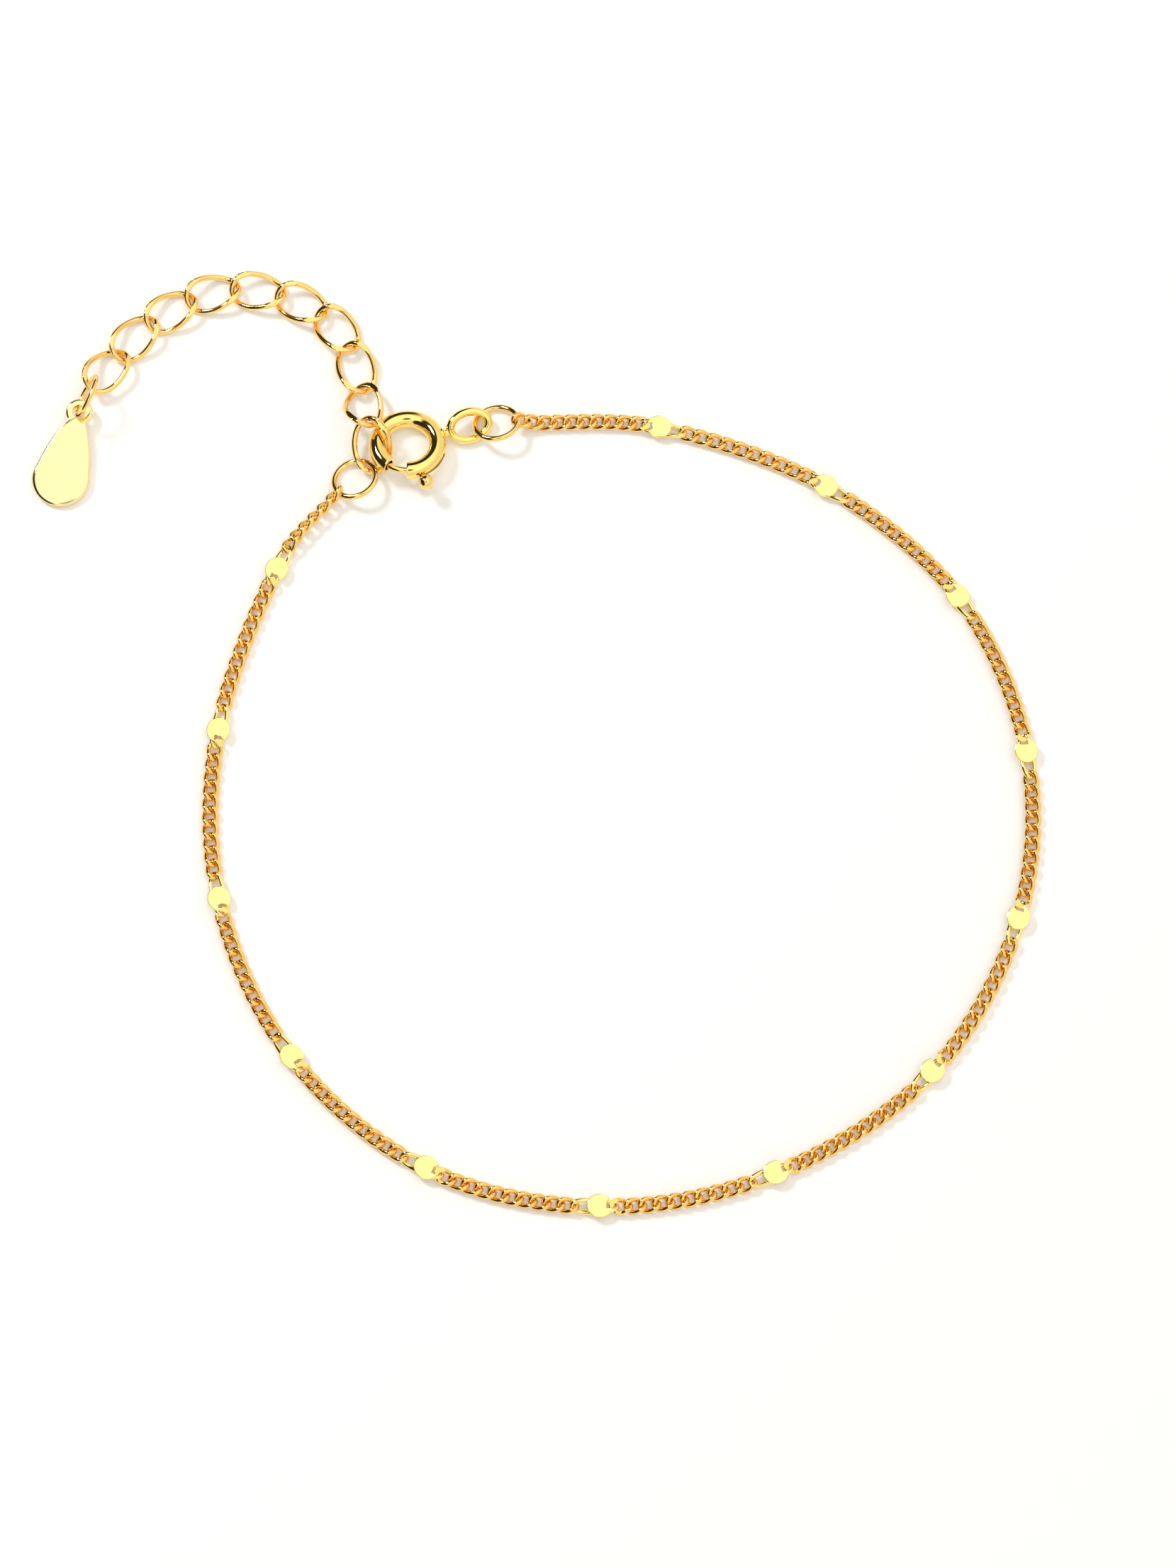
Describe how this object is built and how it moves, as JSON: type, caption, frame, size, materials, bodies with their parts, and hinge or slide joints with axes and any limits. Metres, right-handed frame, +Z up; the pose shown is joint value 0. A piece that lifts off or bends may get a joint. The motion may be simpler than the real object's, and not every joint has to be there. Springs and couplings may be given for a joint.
{
  "type": "bracelet",
  "caption": "Fine curb-chain bracelet lying closed on a surface, with flat disc stations, a spring ring clasp and an oval-link extender ending in a plain teardrop drop",
  "frame": {"origin": "on the surface the bracelet lies on, under the middle of its outline", "axes": "+Z up from the surface, +Y towards the clasp and the extender, +X to the right with the extender on the left"},
  "size_m": [0.0712, 0.0696, 0.0031],
  "materials": {
    "chain_gold": "polished gold plating",
    "disc_gold": "polished gold plating",
    "extender_gold": "polished gold plating",
    "jump_ring_gold": "polished gold plating",
    "clasp_gold": "polished gold plating",
    "gate_gold": "polished gold plating",
    "tag_gold": "polished gold plating"
  },
  "bodies": {
    "bracelet": {"clasp_ring": "clasp_gold", "curb_run_01": "chain_gold", "curb_run_02": "chain_gold", "curb_run_03": "chain_gold", "curb_run_04": "chain_gold", "curb_run_05": "chain_gold", "curb_run_06": "chain_gold", "curb_run_07": "chain_gold", "curb_run_08": "chain_gold", "curb_run_09": "chain_gold", "curb_run_10": "chain_gold", "curb_run_11": "chain_gold", "curb_run_12": "chain_gold", "curb_run_13": "chain_gold", "curb_run_14": "chain_gold", "disc_link_01": "disc_gold", "disc_link_02": "disc_gold", "disc_link_03": "disc_gold", "disc_link_04": "disc_gold", "disc_link_05": "disc_gold", "disc_link_06": "disc_gold", "disc_link_07": "disc_gold", "disc_link_08": "disc_gold", "disc_link_09": "disc_gold", "disc_link_10": "disc_gold", "disc_link_11": "disc_gold", "disc_link_12": "disc_gold", "disc_link_13": "disc_gold", "drop_tag": "tag_gold", "extender_link_01": "extender_gold", "extender_link_02": "extender_gold", "extender_link_03": "extender_gold", "extender_link_04": "extender_gold", "extender_link_05": "extender_gold", "extender_link_06": "extender_gold", "extender_link_07": "extender_gold", "extender_link_08": "extender_gold", "extender_link_09": "extender_gold", "extender_link_10": "extender_gold", "jump_ring_left": "jump_ring_gold", "jump_ring_right": "jump_ring_gold", "tag_ring": "jump_ring_gold"},
    "gate": {"clasp_gate": "gate_gold"}
  },
  "joints": [
    {"name": "gate_slide", "type": "hinge", "parent": "bracelet", "child": "gate", "pos_m": [-0.00901, 0.02139, 0.00101], "axis": [0, 0.1908, 0.9816], "range_deg": [0, 45], "stiffness_Nm_per_rad": 0.004, "springref_deg": -8.59}
  ]
}
